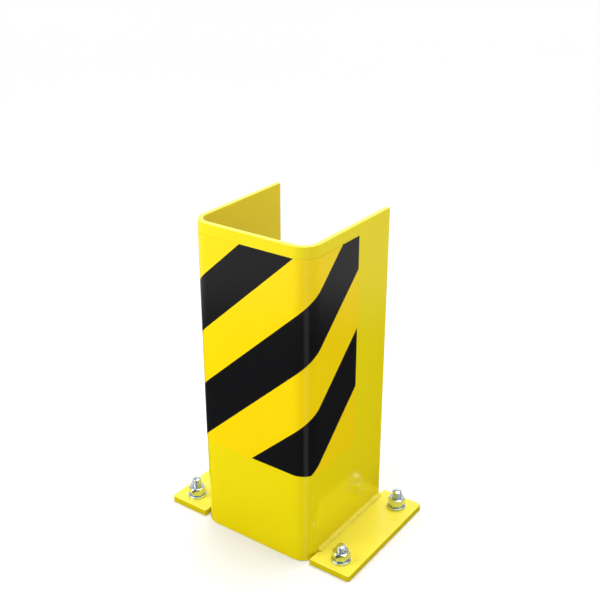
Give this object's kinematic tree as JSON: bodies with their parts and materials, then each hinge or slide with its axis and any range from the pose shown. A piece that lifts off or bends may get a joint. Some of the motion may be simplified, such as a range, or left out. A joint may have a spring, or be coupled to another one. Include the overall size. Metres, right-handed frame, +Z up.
{
  "type": "rack upright guard",
  "caption": "U-shaped steel guard for the foot of a rack upright, with welded base plates bolted down by wedge anchors and a striped hazard film.",
  "frame": {"origin": "on the floor, at the middle of the assembly's footprint", "axes": "+Z up along the channel, -Y the way the closed web faces, +Y the open side where the rack's upright goes in, +X across to the right-hand base plate"},
  "size_m": [0.27, 0.1734, 0.4],
  "materials": {
    "powder_coat": "glossy yellow powder coat",
    "film": "glossy self-adhesive film, yellow with printed black bands",
    "zinc": "bright zinc plating"
  },
  "bodies": {
    "root": {"guard_channel": "powder_coat", "base_plate_left": "powder_coat", "base_plate_right": "powder_coat", "weld_left": "powder_coat", "weld_right": "powder_coat", "hazard_film": "film", "anchor_stud_left_front": "zinc", "anchor_stud_left_rear": "zinc", "anchor_stud_right_front": "zinc", "anchor_stud_right_rear": "zinc", "hex_nut_left_front": "zinc", "hex_nut_left_rear": "zinc", "hex_nut_right_front": "zinc", "hex_nut_right_rear": "zinc", "washer_left_front": "zinc", "washer_left_rear": "zinc", "washer_right_front": "zinc", "washer_right_rear": "zinc"}
  },
  "joints": []
}
